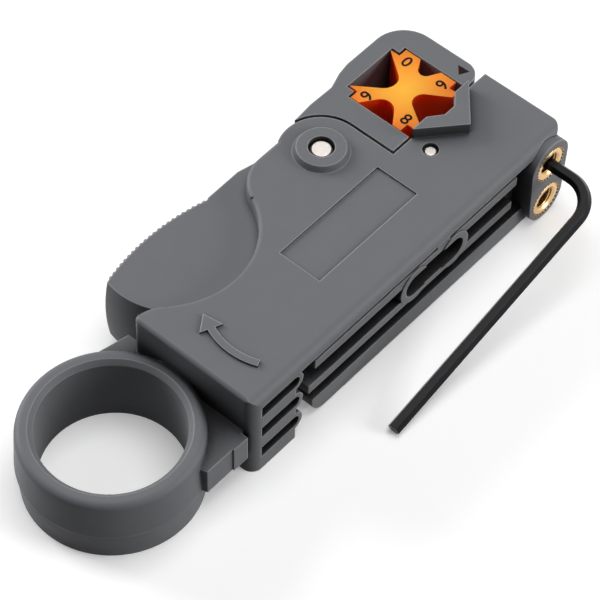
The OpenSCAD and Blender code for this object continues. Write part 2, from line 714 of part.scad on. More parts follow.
module blade_cassette() {
    top = ceiling_z - cassette_play;
    low = plate_t + cassette_play;
    foot = 0.3;                                // clearance of the cassette above the table
    rear = back_y - 1.7;                       // its end, against the body's end wall
    rib_end = screw_y - 6.5;
    loop_hi = rib_high_z + rib_t;
    loop_c = (loop_hi + rib_low_z) / 2;
    loop_half = (loop_hi - rib_low_z) / 2;
    color(plastic) difference() {
        union() {
            // wall behind the pockets
            translate([spine_x, cas_y, foot]) cube([spine_t, rear - cas_y, top - foot]);
            // long ribs and bottom rail
            translate([rib_x - 0.1, cas_y + 1.4, rib_high_z]) cube([side_x - rib_x + 0.1, rib_end - cas_y - 1.4, rib_t]);
            translate([rib_x - 0.1, cas_y, rib_low_z]) cube([side_x - rib_x + 0.1, rib_end - 0.8 - cas_y, rib_t]);
            along_x(rib_x - 0.1, side_x) difference() {
                translate([cas_y + 1, foot]) square([screw_y - cas_y - 1, rail_h - foot]);
                translate([cas_y + 1, foot]) difference() {
                    translate([-cut, -cut]) square(3 + cut);
                    translate([3, 3]) circle(3);
                }
            }
            // oval loop that joins the two ribs
            along_x(rib_x - 0.1, side_x + 0.2) for (s = [-1, 1])
                translate([loop_y + loop_l / 2 + s * (loop_l / 2 - loop_half), loop_c]) circle(loop_half);
            // snap tab under the top plate
            translate([side_x - 1.4, loop_y + 9, loop_hi - 0.1]) cube([1.4, 3, 1.3]);
            // nose with the channels of the blade slides
            translate([nose_x, nose_y, low]) cube([spine_x - nose_x + 0.1, rear - nose_y, top - low]);
            // block and lug that carry the inserts
            along_x(lug_in_x, lug_x) lug_2d();
            translate([spine_x, slide_y0 - 1.2, foot])
                cube([cover_x + 1.5 - spine_x, rear - slide_y0 + 1.2, top - foot]);
        }
        // hole of the oval loop
        along_x(rib_x + 0.4, side_x + cut) {
            for (s = [-1, 1])
                translate([loop_y + loop_l / 2 + s * (loop_l / 2 - loop_half), loop_c]) circle(loop_half - rib_t * 0.7);
            translate([loop_y + loop_half, loop_c - loop_half + rib_t * 0.7])
                square([loop_l - 2 * loop_half, 2 * (loop_half - rib_t * 0.7)]);
        }
        slide_channel(screw_high_z);
        slide_channel(screw_low_z);
        for (z = [screw_high_z, screw_low_z])
            translate([lug_x - insert_l, screw_y, z]) rotate([0, 90, 0]) cylinder(d = insert_d + 0.02, h = insert_l + cut);
        translate([pin_x, pin_y, -cut]) cylinder(d = pin_d + 0.02, h = body_h);
    }
}

module insert(z) {
    c = 0.3;
    color(brass) translate([lug_x - insert_l, screw_y, z]) rotate([0, 90, 0]) difference() {
        rotate_extrude()
            polygon([[0, 0], [insert_d / 2 - c, 0], [insert_d / 2, c], [insert_d / 2, insert_l - c],
                     [insert_d / 2 - c, insert_l], [0, insert_l]]);
        translate([0, 0, -cut]) cylinder(d = screw_d + 2 * screw_play, h = insert_l + 2 * cut);
        translate([0, 0, insert_l - 0.4]) cylinder(d1 = screw_d, d2 = screw_d + 1, h = 0.5);
    }
}

// Set screw with a hexagon socket, its tip on the back of the blade slide
module set_screw(z) {
    socket_turn = z == screw_high_z ? key_drop + 30 : 0;
    color(black) translate([slide_back_x, screw_y, z]) rotate([0, 90, 0]) difference() {
        rotate_extrude()
            polygon([[0, 0], [1.1, 0], [screw_d / 2, 0.7], [screw_d / 2, screw_l - 0.3],
                     [screw_d / 2 - 0.3, screw_l], [0, screw_l]]);
        translate([0, 0, screw_l - 2.2]) rotate(socket_turn)
            cylinder(r = (key_af + 0.04) / sqrt(3), h = 2.2 + cut, $fn = 6);
    }
}

// Slide that carries one blade, with a pocket for its return spring
module blade_slide(z) {
    color(plastic) translate([0, 0, z]) difference() {
        translate([slide_x, slide_y0, -slide_low]) cube([slide_back_x - slide_x, slide_y1 - slide_y0, slide_t]);
        translate([slide_x - cut, screw_y - 1, 0]) rotate([0, 90, 0])
            cylinder(r = small_r + small_wire / 2 + 0.15, h = pocket_floor_x - slide_x + cut);
        translate([clamp_x, cable_y, -slide_low - cut]) cylinder(d = 1.6 + 0.02, h = slide_t + 2 * cut);
    }
}

// Flat blade with a ground edge towards the cable
module blade(z) {
    bevel = 0.9;
    seat = z - slide_low + slide_t;
    color(steel) difference() {
        translate([0, cable_y + blade_w / 2, seat]) rotate([90, 0, 0]) linear_extrude(blade_w)
            polygon([[blade_edge_x, 0], [blade_back_x, 0], [blade_back_x, blade_t], [blade_edge_x + bevel, blade_t]]);
        translate([clamp_x, cable_y, seat - cut]) cylinder(d = 1.6 + 0.02, h = blade_t + 2 * cut);
    }
}

// Small screw that clamps a blade on its slide
module blade_clamp(z) {
    seat = z - slide_low + slide_t + blade_t;
    color(steel) translate([clamp_x, cable_y, 0]) difference() {
        union() {
            translate([0, 0, seat - slide_t - blade_t + 0.3]) cylinder(d = 1.6, h = slide_t + blade_t);
            translate([0, 0, seat]) cylinder(d = 3.2, h = clamp_head_h);
        }
        translate([-0.2, -2, seat + clamp_head_h - 0.4]) cube([0.4, 4, 1]);
    }
}

module slide_spring(z) {
    color(steel) coil_spring(nose_wall_x + 0.03, pocket_floor_x - 0.03, screw_y - 1, z, small_r, small_wire, small_turns);
}

// Hexagon bar bent at a right angle, its short arm in the upper set screw
module hex_key() {
    r = (key_af - 0.02) / sqrt(3);
    tip_x = slide_back_x + screw_l - 2.1;
    corner_x = lug_x + key_out;
    color(black) translate([corner_x, screw_y, screw_high_z]) rotate([key_drop, 0, 0]) {
        rotate([0, -90, 0]) translate([0, 0, key_bend_r]) rotate(30)
            cylinder(r = r, h = corner_x - tip_x - key_bend_r, $fn = 6);
        translate([-key_bend_r, -key_bend_r, 0]) rotate_extrude(angle = 90)
            translate([key_bend_r, 0]) circle(r, $fn = 6);
        rotate([90, 0, 0]) translate([0, 0, key_bend_r])
            cylinder(r = r, h = key_long - key_bend_r, $fn = 6);
    }
}

housing();
rocker();
v_block();
pivot_pin();
lever_spring();
blade_cassette();
cassette_pin();
insert(screw_high_z);  // insert_upper
insert(screw_low_z);  // insert_lower
set_screw(screw_high_z);  // set_screw_upper
set_screw(screw_low_z);  // set_screw_lower
blade_slide(screw_high_z);  // blade_slide_upper
blade_slide(screw_low_z);  // blade_slide_lower
blade(screw_high_z);  // blade_upper
blade(screw_low_z);  // blade_lower
blade_clamp(screw_high_z);  // blade_clamp_upper
blade_clamp(screw_low_z);  // blade_clamp_lower
slide_spring(screw_high_z);  // slide_spring_upper
slide_spring(screw_low_z);  // slide_spring_lower
hex_key();
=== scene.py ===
# %% [markdown]
# # A coaxial cable stripper, dressed for its picture
# The construction of this hand tool is already done: every moulding, pin, screw and blade is loaded as a
# fixed frame, in metres. What is left for Blender is what the eye judges: how the moulded plastic takes the
# light, the clear orange block, turned brass, black steel, and the small pieces that the solids leave plain.

# %% Load the frame
import json
import math

import bmesh
import bpy
from mathutils import Matrix, Vector


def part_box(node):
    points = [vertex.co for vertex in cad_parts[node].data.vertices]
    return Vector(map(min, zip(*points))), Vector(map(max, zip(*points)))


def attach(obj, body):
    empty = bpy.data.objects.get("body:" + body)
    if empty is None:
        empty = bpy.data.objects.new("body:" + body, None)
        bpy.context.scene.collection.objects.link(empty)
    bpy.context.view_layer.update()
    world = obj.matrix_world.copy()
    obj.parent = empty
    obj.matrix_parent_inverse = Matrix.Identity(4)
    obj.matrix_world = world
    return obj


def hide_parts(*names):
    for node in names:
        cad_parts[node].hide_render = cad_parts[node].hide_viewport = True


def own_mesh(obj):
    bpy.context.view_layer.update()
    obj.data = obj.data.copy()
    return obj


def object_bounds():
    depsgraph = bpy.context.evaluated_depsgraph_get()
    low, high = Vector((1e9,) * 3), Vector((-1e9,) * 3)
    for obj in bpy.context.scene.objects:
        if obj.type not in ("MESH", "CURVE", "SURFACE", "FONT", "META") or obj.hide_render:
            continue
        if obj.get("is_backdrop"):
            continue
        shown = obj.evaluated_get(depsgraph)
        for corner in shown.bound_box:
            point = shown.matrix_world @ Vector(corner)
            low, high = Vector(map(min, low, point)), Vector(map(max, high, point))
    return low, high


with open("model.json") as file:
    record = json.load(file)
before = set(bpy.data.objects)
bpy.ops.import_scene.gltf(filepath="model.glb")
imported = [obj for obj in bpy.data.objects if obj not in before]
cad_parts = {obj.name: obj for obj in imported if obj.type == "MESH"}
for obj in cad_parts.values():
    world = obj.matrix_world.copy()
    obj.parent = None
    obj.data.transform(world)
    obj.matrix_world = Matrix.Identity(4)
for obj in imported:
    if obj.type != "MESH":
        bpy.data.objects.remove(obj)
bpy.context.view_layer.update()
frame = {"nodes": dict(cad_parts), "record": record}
nodes = frame["nodes"]
MM = 0.001

# %% [markdown]
# ## The camera
# The photograph was taken from above and to the right, with a long lens. A long lens flattens perspective, so
# the far jaw looks nearly as large as the near ring. The view is set by four plain numbers: the direction, how
# steeply it looks down, a slight roll, and the distance. The camera's matrix is built from them, because a
# tracking constraint could not hold the roll.

# %% Camera
VIEW_AZIMUTH = math.radians(40.0)
VIEW_ELEVATION = math.radians(52.69)
VIEW_ROLL = math.radians(1.68)
VIEW_DISTANCE = 446.0 * MM
LENS = 165.7
AIM = Vector((-1.15, 44.7, 0.0)) * MM


def direction(azimuth, elevation):
    """Unit vector from the tool towards a place in the studio; azimuth 0 is in front of the finger ring."""
    flat = math.cos(elevation)
    return Vector((math.sin(azimuth) * flat, -math.cos(azimuth) * flat, math.sin(elevation)))


def aimed_matrix(place, back, roll=0.0):
    """Matrix that stands at a place with its local Z axis along back."""
    right = Vector((0, 0, 1)).cross(back).normalized()
    up = back.cross(right)
    turned_right = right * math.cos(roll) + up * math.sin(roll)
    turned_up = up * math.cos(roll) - right * math.sin(roll)
    return Matrix.Translation(place) @ Matrix((turned_right, turned_up, back)).transposed().to_4x4()


camera_data = bpy.data.cameras.new("camera")
camera_data.lens = LENS
camera_data.sensor_width = 36.0
camera_data.clip_start = 0.01
camera = bpy.data.objects.new("camera", camera_data)
view_back = direction(VIEW_AZIMUTH, VIEW_ELEVATION)
camera.matrix_world = aimed_matrix(AIM + view_back * VIEW_DISTANCE, view_back, VIEW_ROLL)
bpy.context.scene.collection.objects.link(camera)
bpy.context.scene.camera = camera
print("camera stands", round(VIEW_DISTANCE, 3), "m away")

# %% [markdown]
# ## Floor and light
# The picture has a white table that runs out of sight, with a soft shadow close to the tool. A floor that is
# lit up to white would throw so much light back at the tool that its dark sides would fade. So the floor has
# two faces: rays from the camera, and those that mirror or pass through a piece, see it nearly white, and
# light that bounces on meets a darker grey.

# %% Studio
FLOOR_SIZE = 6.0
FLOOR_GLOW = 0.25
FLOOR_BOUNCE = 0.15
WORLD_LEVEL = 0.01


def new_material(name):
    """An empty node material with its output; returns the material, its tree and the output."""
    material = bpy.data.materials.new(name)
    material.use_nodes = True
    tree = material.node_tree
    tree.nodes.clear()
    return material, tree, tree.nodes.new("ShaderNodeOutputMaterial")


def add_node(tree, kind, settings=None, **inputs):
    """Adds a node; settings are its own options, and inputs are values or sockets by their names."""
    made = tree.nodes.new(kind)
    for name, value in (settings or {}).items():
        setattr(made, name, value)
    for name, value in inputs.items():
        socket = made.inputs[name.replace("_", " ")]
        if isinstance(value, bpy.types.NodeSocket):
            tree.links.new(value, socket)
        else:
            socket.default_value = value
    return made


def seen_ray(tree):
    """1 for a ray that shows the surface to the camera, straight, mirrored or through glass."""
    path = add_node(tree, "ShaderNodeLightPath")
    shown = path.outputs["Is Camera Ray"]
    for other in ("Is Glossy Ray", "Is Transmission Ray"):
        larger = add_node(tree, "ShaderNodeMath", {"operation": "MAXIMUM"})
        tree.links.new(shown, larger.inputs[0])
        tree.links.new(path.outputs[other], larger.inputs[1])
        shown = larger.outputs[0]
    return shown


def floor_material():
    material, tree, output = new_material("white_table")
    shown = seen_ray(tree)
    white = add_node(tree, "ShaderNodeBsdfDiffuse", Color=(0.9, 0.9, 0.9, 1))
    grey = add_node(tree, "ShaderNodeBsdfDiffuse", Color=(FLOOR_BOUNCE, FLOOR_BOUNCE, FLOOR_BOUNCE, 1))
    glow = add_node(tree, "ShaderNodeEmission", Strength=FLOOR_GLOW)
    lit = add_node(tree, "ShaderNodeAddShader")
    tree.links.new(white.outputs[0], lit.inputs[0])
    tree.links.new(glow.outputs[0], lit.inputs[1])
    mix = add_node(tree, "ShaderNodeMixShader", Fac=shown)
    tree.links.new(grey.outputs[0], mix.inputs[1])
    tree.links.new(lit.outputs[0], mix.inputs[2])
    tree.links.new(mix.outputs[0], output.inputs["Surface"])
    return material


def make_floor():
    mesh = bpy.data.meshes.new("table")
    half = FLOOR_SIZE / 2
    corners = [(-half, -half, 0), (half, -half, 0), (half, half, 0), (-half, half, 0)]
    mesh.from_pydata(corners, [], [(0, 1, 2, 3)])
    mesh.materials.append(floor_material())
    floor = bpy.data.objects.new("table", mesh)
    bpy.context.scene.collection.objects.link(floor)
    floor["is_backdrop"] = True


def make_softbox(name, azimuth, elevation, size, power, distance=0.7):
    """A square area lamp that looks at the tool from a direction given in degrees."""
    lamp = bpy.data.lights.new(name, "AREA")
    lamp.size = size
    lamp.energy = power
    holder = bpy.data.objects.new(name, lamp)
    away = direction(math.radians(azimuth), math.radians(elevation))
    holder.matrix_world = aimed_matrix(AIM + away * distance, away)
    bpy.context.scene.collection.objects.link(holder)


def make_world():
    world = bpy.data.worlds.new("studio")
    world.use_nodes = True
    tree = world.node_tree
    tree.nodes.clear()
    soft = add_node(tree, "ShaderNodeBackground", Color=(1, 1, 1, 1), Strength=WORLD_LEVEL)
    white = add_node(tree, "ShaderNodeBackground", Color=(1, 1, 1, 1), Strength=1.0)
    mix = add_node(tree, "ShaderNodeMixShader", Fac=seen_ray(tree))
    output = add_node(tree, "ShaderNodeOutputWorld")
    tree.links.new(soft.outputs[0], mix.inputs[1])
    tree.links.new(white.outputs[0], mix.inputs[2])
    tree.links.new(mix.outputs[0], output.inputs["Surface"])
    world.cycles.sampling_method = "NONE"
    bpy.context.scene.world = world


make_floor()
make_world()
make_softbox("softbox_over", 160, 80, 0.5, 3.2)
make_softbox("softbox_right", 115, 18, 0.32, 3.0)
make_softbox("softbox_left", 280, 22, 0.35, 4.4)
bpy.context.scene.view_settings.view_transform = "Standard"

# %% [markdown]
# ## Moulded grey plastic
# The body, the rocker and the blade cassette are glass-filled nylon from a spark-eroded mould. Such a mould
# leaves a very fine grain, which makes the gloss soft, and its edges are never sharp. The grain is noise on
# Object coordinates, in metres, so it keeps its size on every piece. The Bevel node rounds the shading of an
# edge by the radius that a mould maker would leave, without a single extra face.
# Its colour also holds painted light: a painted highlight along the edges, and painted shade deep in grooves and
# pockets.

# %% Plastic
GREY_COOL = (0.132, 0.140, 0.156)
GREY_WARM = (0.150, 0.150, 0.153)
# Painted highlight: the lighter colour given along rounded edges
EDGE_PAINTED_HIGHLIGHT = (0.36, 0.35, 0.34)
# Painted shade: the near-black colour that grooves and recesses are given
RECESS_PAINTED_SHADE = (0.012, 0.012, 0.013)
MOULD_EDGE = 0.4 * MM
PAINTED_SHADE_REACH = 10.0 * MM


def object_point(tree):
    return add_node(tree, "ShaderNodeTexCoord").outputs["Object"]


def noise(tree, size_mm, detail=2.0):
    """Noise whose features are about size_mm across."""
    return add_node(tree, "ShaderNodeTexNoise", Vector=object_point(tree), Scale=1.0 / (size_mm * MM), Detail=detail)


def between(tree, factor, low, high):
    """Maps 0 to 1 onto low to high."""
    made = add_node(tree, "ShaderNodeMapRange", Value=factor)
    made.inputs["To Min"].default_value = low
    made.inputs["To Max"].default_value = high
    return made.outputs["Result"]


def blend_colour(tree, factor, dark, light):
    mix = add_node(tree, "ShaderNodeMix", {"data_type": "RGBA"})
    tree.links.new(factor, mix.inputs["Factor"])
    for socket, value in zip([s for s in mix.inputs if s.type == "RGBA"], (dark, light)):
        if isinstance(value, bpy.types.NodeSocket):
            tree.links.new(value, socket)
        else:
            socket.default_value = (*value, 1)
    return next(s for s in mix.outputs if s.type == "RGBA")


def shade(colour, share):
    return tuple(c * share for c in colour)


def rounded_normal(tree, edge):
    return add_node(tree, "ShaderNodeBevel", {"samples": 6}, Radius=edge).outputs[0]


def grained_normal(tree, size_mm, depth_mm, rounded):
    """A fine grain on top of a rounded normal."""
    bump = add_node(tree, "ShaderNodeBump", Strength=0.5, Distance=depth_mm * MM, Normal=rounded)
    tree.links.new(noise(tree, size_mm, 3.0).outputs[0], bump.inputs["Height"])
    return bump.outputs[0]


def openness(tree, reach):
    """Ambient occlusion: 1 on an open face, towards 0 deep in the piece's own grooves and pockets, where the plastic
    gets painted shade.
    """
    return add_node(tree, "ShaderNodeAmbientOcclusion", {"samples": 6, "only_local": True}, Distance=reach).outputs["AO"]


def edge_share(tree, rounded):
    """0 on a flat face, 1 where the rounded normal leans well away from it."""
    flat = add_node(tree, "ShaderNodeNewGeometry").outputs["Normal"]
    lean = add_node(tree, "ShaderNodeVectorMath", {"operation": "DOT_PRODUCT"})
    tree.links.new(rounded, lean.inputs[0])
    tree.links.new(flat, lean.inputs[1])
    share = add_node(tree, "ShaderNodeMapRange", Value=lean.outputs["Value"], From_Min=1.0, From_Max=0.86)
    return share.outputs["Result"]


def plastic_material(name):
    material, tree, output = new_material(name)
    rounded = rounded_normal(tree, MOULD_EDGE)
    face_tone = blend_colour(tree, noise(tree, 3.5, 4.0).outputs[0], GREY_COOL, GREY_WARM)
    # Painted highlight: the colour lightens where the rounded normal leans away from the face
    edge_highlight_tone = blend_colour(tree, edge_share(tree, rounded), face_tone, EDGE_PAINTED_HIGHLIGHT)
    # Painted shade: close to the piece's own walls the colour fades to near black
    painted_shade_share = add_node(tree, "ShaderNodeMapRange", Value=openness(tree, PAINTED_SHADE_REACH), From_Min=0.48, From_Max=0.9)
    tone = blend_colour(tree, painted_shade_share.outputs["Result"], RECESS_PAINTED_SHADE, edge_highlight_tone)
    surface = add_node(tree, "ShaderNodeBsdfPrincipled", Base_Color=tone)
    surface.inputs["Specular IOR Level"].default_value = 0.15
    tree.links.new(between(tree, noise(tree, 1.4).outputs[0], 0.42, 0.55), surface.inputs["Roughness"])
    tree.links.new(grained_normal(tree, 0.16, 0.03, rounded), surface.inputs["Normal"])
    tree.links.new(surface.outputs[0], output.inputs["Surface"])
    return material


grey_plastic = plastic_material("grey_moulded_plastic")
print("grain of 0.16 mm, edges of", MOULD_EDGE / MM, "mm")

# %% [markdown]
# ## Orange block
# The block is cast in a clear-toned orange, so light enters it and comes out again: its top glows yellow-orange,
# and its notched walls, which the light reaches through the plastic, turn deep red. Subsurface scattering does
# most of it. The rest is painted light: the top's colour is a painted glow, yellower in the middle and redder towards
# the arm ends, and the upright walls get a painted deeper red, from the surface's own normal.

# %% Orange plastic
# Painted light: a painted glow from the middle colour to the end colour on top, and painted shade of deep red on
# upright walls
ORANGE_MIDDLE = (1.0, 0.50, 0.04)
ORANGE_END = (1.0, 0.20, 0.012)
ORANGE_WALL_PAINTED_SHADE = (1.0, 0.07, 0.003)
block_low, block_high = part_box("v_block")
block_middle = (block_low + block_high) / 2


def orange_material():
    material, tree, output = new_material("orange_clear_plastic")
    geometry = add_node(tree, "ShaderNodeNewGeometry")
    split = add_node(tree, "ShaderNodeSeparateXYZ", Vector=geometry.outputs["Normal"])
    away = add_node(tree, "ShaderNodeVectorMath", {"operation": "DISTANCE"})
    tree.links.new(object_point(tree), away.inputs[0])
    away.inputs[1].default_value = (block_middle.x, block_middle.y, block_high.z)
    out_share = add_node(tree, "ShaderNodeMapRange", Value=away.outputs["Value"], From_Max=(block_high.x - block_low.x) * 0.6)
    # Painted glow: yellower in the middle of the top, redder towards the arm ends
    top_painted_glow = blend_colour(tree, out_share.outputs["Result"], ORANGE_MIDDLE, ORANGE_END)
    # Painted shade: upright faces get the deeper red by their normal
    colour = blend_colour(tree, split.outputs["Z"], ORANGE_WALL_PAINTED_SHADE, top_painted_glow)
    surface = add_node(tree, "ShaderNodeBsdfPrincipled", Base_Color=colour, Roughness=0.34)
    surface.inputs["Specular IOR Level"].default_value = 0.3
    surface.inputs["Subsurface Weight"].default_value = 0.6
    surface.inputs["Subsurface Radius"].default_value = (1.0, 0.2, 0.03)
    surface.inputs["Subsurface Scale"].default_value = 3.0 * MM
    tree.links.new(grained_normal(tree, 0.3, 0.01, rounded_normal(tree, 0.12 * MM)), surface.inputs["Normal"])
    tree.links.new(surface.outputs[0], output.inputs["Surface"])
    return material


orange_plastic = orange_material()

# %% [markdown]
# ## Metals
# Three metals show: satin steel pins cut off on a lathe, brass inserts with a warm gloss, and the key and
# screws in black oxide, which is a thin dark skin that still shines like steel along its edges. Each has its
# own fine marks. A metal's look is mostly what it mirrors, so roughness matters more than colour.

# %% Steel, brass and black oxide


def metal_material(name, colour, roughness, marks_mm, edge):
    material, tree, output = new_material(name)
    marks = noise(tree, marks_mm, 4.0).outputs[0]
    tone = blend_colour(tree, marks, shade(colour, 0.72), colour)
    surface = add_node(tree, "ShaderNodeBsdfPrincipled", Base_Color=tone, Metallic=1.0)
    tree.links.new(between(tree, marks, roughness * 0.8, roughness * 1.25), surface.inputs["Roughness"])
    tree.links.new(grained_normal(tree, marks_mm * 0.4, 0.006, rounded_normal(tree, edge)), surface.inputs["Normal"])
    tree.links.new(surface.outputs[0], output.inputs["Surface"])
    return material


def black_oxide_material():
    material, tree, output = new_material("black_oxide_steel")
    cloud = noise(tree, 1.2, 4.0).outputs[0]
    tone = blend_colour(tree, cloud, (0.003, 0.003, 0.004), (0.009, 0.009, 0.011))
    surface = add_node(tree, "ShaderNodeBsdfPrincipled", Base_Color=tone)
    surface.inputs["Specular IOR Level"].default_value = 0.12
    tree.links.new(between(tree, cloud, 0.16, 0.27), surface.inputs["Roughness"])
    tree.links.new(grained_normal(tree, 0.12, 0.012, rounded_normal(tree, 0.22 * MM)), surface.inputs["Normal"])
    tree.links.new(surface.outputs[0], output.inputs["Surface"])
    return material


steel = metal_material("satin_steel", (0.70, 0.65, 0.61), 0.38, 0.35, 0.12 * MM)
brass = metal_material("turned_brass", (0.84, 0.56, 0.27), 0.28, 0.5, 0.05 * MM)
black_steel = black_oxide_material()
slot_material = {"grey_plastic": grey_plastic, "orange_plastic": orange_plastic, "steel": steel, "brass": brass,
                 "black_steel": black_steel}

# %% [markdown]
# ## Dress the carried pieces
# Each CAD piece names the slot that its finish belongs to, so one loop dresses them all. Their shapes are left
# alone.

# %% Give each piece its finish
for part in frame["record"]["subparts"]:
    mesh = nodes[part["node"]].data
    mesh.materials.clear()
    mesh.materials.append(slot_material[part["material_slot"]])

# %% [markdown]
# ## Printed marks
# The block's four arms carry plain size numbers, and the jaw a small black pointer that tells which number is
# in use. They are pad-printed, so each is a film of ink a few hundredths of a millimetre thick. Text is turned
# into a mesh before it is placed, so that its place is in its vertices.

# %% Size numbers and pointer
INK_THICK = 0.03 * MM
DIGIT_HIGH = 2.3 * MM
# The black ink also colours the painted shadow ring in the knurl gaps.
ink_and_painted_shadow, ink_tree, ink_output = new_material("black_ink_and_painted_shadow")
ink_surface = add_node(ink_tree, "ShaderNodeBsdfPrincipled", Roughness=0.6)
ink_surface.inputs["Specular IOR Level"].default_value = 0.08
ink_tone = blend_colour(ink_tree, noise(ink_tree, 0.25, 3.0).outputs[0], (0.006, 0.003, 0.003), (0.022, 0.008, 0.006))
ink_tree.links.new(ink_tone, ink_surface.inputs["Base Color"])
ink_tree.links.new(ink_surface.outputs[0], ink_output.inputs["Surface"])


def add_piece(name, mesh, material, body):
    """Links a finished mesh as a piece that rides on a body."""
    mesh.name = name
    mesh.materials.clear()
    mesh.materials.append(material)
    piece = bpy.data.objects.new(name, mesh)
    bpy.context.scene.collection.objects.link(piece)
    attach(piece, body)
    return piece


def baked_mesh(thing):
    """The evaluated object as a plain mesh; the object itself is removed."""
    bpy.context.view_layer.update()
    graph = bpy.context.evaluated_depsgraph_get()
    mesh = bpy.data.meshes.new_from_object(thing.evaluated_get(graph))
    bpy.data.objects.remove(thing)
    return mesh


def digit_mesh(text):
    curve = bpy.data.curves.new("digit", "FONT")
    curve.body = text
    curve.size = DIGIT_HIGH * 1.35
    curve.align_x = "CENTER"
    curve.align_y = "CENTER"
    curve.extrude = INK_THICK / 2
    curve.offset = 0.045 * MM
    holder = bpy.data.objects.new("digit", curve)
    bpy.context.scene.collection.objects.link(holder)
    return baked_mesh(holder)


arm_reach = (block_high.x - block_low.x) * 0.315
for text, side_x, side_y, turn in (("0", -0.79, 1.12, 0), ("9", 0.93, 1.14, 90), ("8", 1.0, -1.06, 0), ("6", -0.84, -1.14, -90)):
    mesh = digit_mesh(text)
    place = Vector((block_middle.x + side_x * arm_reach, block_middle.y + side_y * arm_reach, block_high.z))
    mesh.transform(Matrix.Translation(place) @ Matrix.Rotation(math.radians(turn), 4, "Z"))
    add_piece("size_number_" + text, mesh, ink_and_painted_shadow, "rocker")

jaw_low, jaw_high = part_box("rocker")
POINTER = [(-4.7, 87.5), (-2.4, 87.6), (-3.3, 85.9)]


def film_mesh(outline, top):
    """A thin film of ink with the given outline, lying on a level face."""
    shape = bmesh.new()
    face = shape.faces.new([shape.verts.new((x * MM, y * MM, top)) for x, y in outline])
    raised = bmesh.ops.extrude_face_region(shape, geom=[face])["geom"]
    bmesh.ops.translate(shape, verts=[v for v in raised if isinstance(v, bmesh.types.BMVert)], vec=(0, 0, INK_THICK))
    bmesh.ops.recalc_face_normals(shape, faces=shape.faces)
    mesh = bpy.data.meshes.new("film")
    shape.to_mesh(mesh)
    shape.free()
    return mesh


add_piece("pointer_mark", film_mesh(POINTER, jaw_high.z), ink_and_painted_shadow, "rocker")
print("printed four numbers and a pointer")

# %% [markdown]
# ## Coils and threads from one tree
# A coil spring and a screw thread are the same form: a section swept along a helix. One Geometry Nodes tree
# makes both. A Spiral curve gives the path, Curve to Mesh sweeps a small circle along it, and the number of
# sides makes it round wire or a ridge with a sharp crest. The tree ends in Set Material and Realize Instances.

# %% Helix tree


def new_tree(name, inputs):
    """A geometry tree with named inputs, given as (name, socket type); returns the tree and its input node."""
    tree = bpy.data.node_groups.new(name, "GeometryNodeTree")
    tree.interface.new_socket(name="Geometry", in_out="OUTPUT", socket_type="NodeSocketGeometry")
    for label, kind in inputs:
        tree.interface.new_socket(name=label, in_out="INPUT", socket_type=kind)
    return tree, tree.nodes.new("NodeGroupInput")


def finish_tree(tree, source, geometry):
    """Ends a tree: finish, real geometry, output."""
    painted = add_node(tree, "GeometryNodeSetMaterial", Geometry=geometry, Material=source.outputs["Finish"])
    real = add_node(tree, "GeometryNodeRealizeInstances", Geometry=painted.outputs[0])
    add_node(tree, "NodeGroupOutput", Geometry=real.outputs[0])


def run_tree(tree, values):
    """Runs a tree on an empty mesh and returns what it makes."""
    holder = bpy.data.objects.new("holder", bpy.data.meshes.new("holder"))
    bpy.context.scene.collection.objects.link(holder)
    modifier = holder.modifiers.new("shape", "NODES")
    modifier.node_group = tree
    for socket in tree.interface.items_tree:
        if socket.in_out == "INPUT":
            modifier[socket.identifier] = values[socket.name]
    return baked_mesh(holder)


FLOAT, COUNT, FINISH = "NodeSocketFloat", "NodeSocketInt", "NodeSocketMaterial"
helix_tree, helix_in = new_tree("helix", [("Radius", FLOAT), ("Height", FLOAT), ("Turns", FLOAT),
                                          ("Section", FLOAT), ("Sides", COUNT), ("Finish", FINISH)])
path = add_node(helix_tree, "GeometryNodeCurveSpiral", Resolution=48, Rotations=helix_in.outputs["Turns"],
                Start_Radius=helix_in.outputs["Radius"], End_Radius=helix_in.outputs["Radius"],
                Height=helix_in.outputs["Height"])
section = add_node(helix_tree, "GeometryNodeCurvePrimitiveCircle", Resolution=helix_in.outputs["Sides"],
                   Radius=helix_in.outputs["Section"])
swept = add_node(helix_tree, "GeometryNodeCurveToMesh", Curve=path.outputs[0], Profile_Curve=section.outputs[0])
swept.inputs["Fill Caps"].default_value = True
smooth = add_node(helix_tree, "GeometryNodeSetShadeSmooth", Geometry=swept.outputs[0])
finish_tree(helix_tree, helix_in, smooth.outputs[0])

ALONG_X = Matrix.Rotation(math.radians(90), 4, "Y")


def helix_mesh(radius, height, turns, section_radius, sides, finish):
    return run_tree(helix_tree, {"Radius": radius, "Height": height, "Turns": turns, "Section": section_radius,
                                 "Sides": sides, "Finish": finish})


# %% [markdown]
# ## Springs
# The lever spring is squeezed between the lever and the body's middle wall, and each blade slide has a small
# one. A spring cannot ride on one body only, because its two ends move apart; here each coil rides on the body.

# %% Springs
springs = [("lever_spring", "rocker_pivot", 0.3, 7, 0.59), ("slide_spring_upper", "upper_blade_feed", 0.15, 5, 0.778),
           ("slide_spring_lower", "lower_blade_feed", 0.15, 5, 0.778)]
for node_name, joint, wire_radius, turns, keep in springs:
    low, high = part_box(node_name)
    wire = wire_radius * MM
    middle = (low + high) / 2
    coil_radius = (high.y - low.y) / 2 - wire
    coil = helix_mesh(coil_radius, high.x - low.x - 2 * wire, turns, wire, 12, steel)
    coil.transform(Matrix.Translation((low.x + wire, middle.y, middle.z)) @ ALONG_X)
    piece = add_piece("coil_" + node_name, coil, steel, "body")
    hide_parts(node_name)
    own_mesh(piece)
print("wound", len(springs), "springs")

# %% [markdown]
# ## Thumb ribs
# The thumb lever's outer face is scalloped: small upright ribs stand between shallow grooves, so that the thumb
# doesn't slip. The solid has the grooves. Here each rib is one arc, bent as the crowned face is, swept with a small
# circle. The tree places it along the face by its number, with the angle worked out from the point's index.

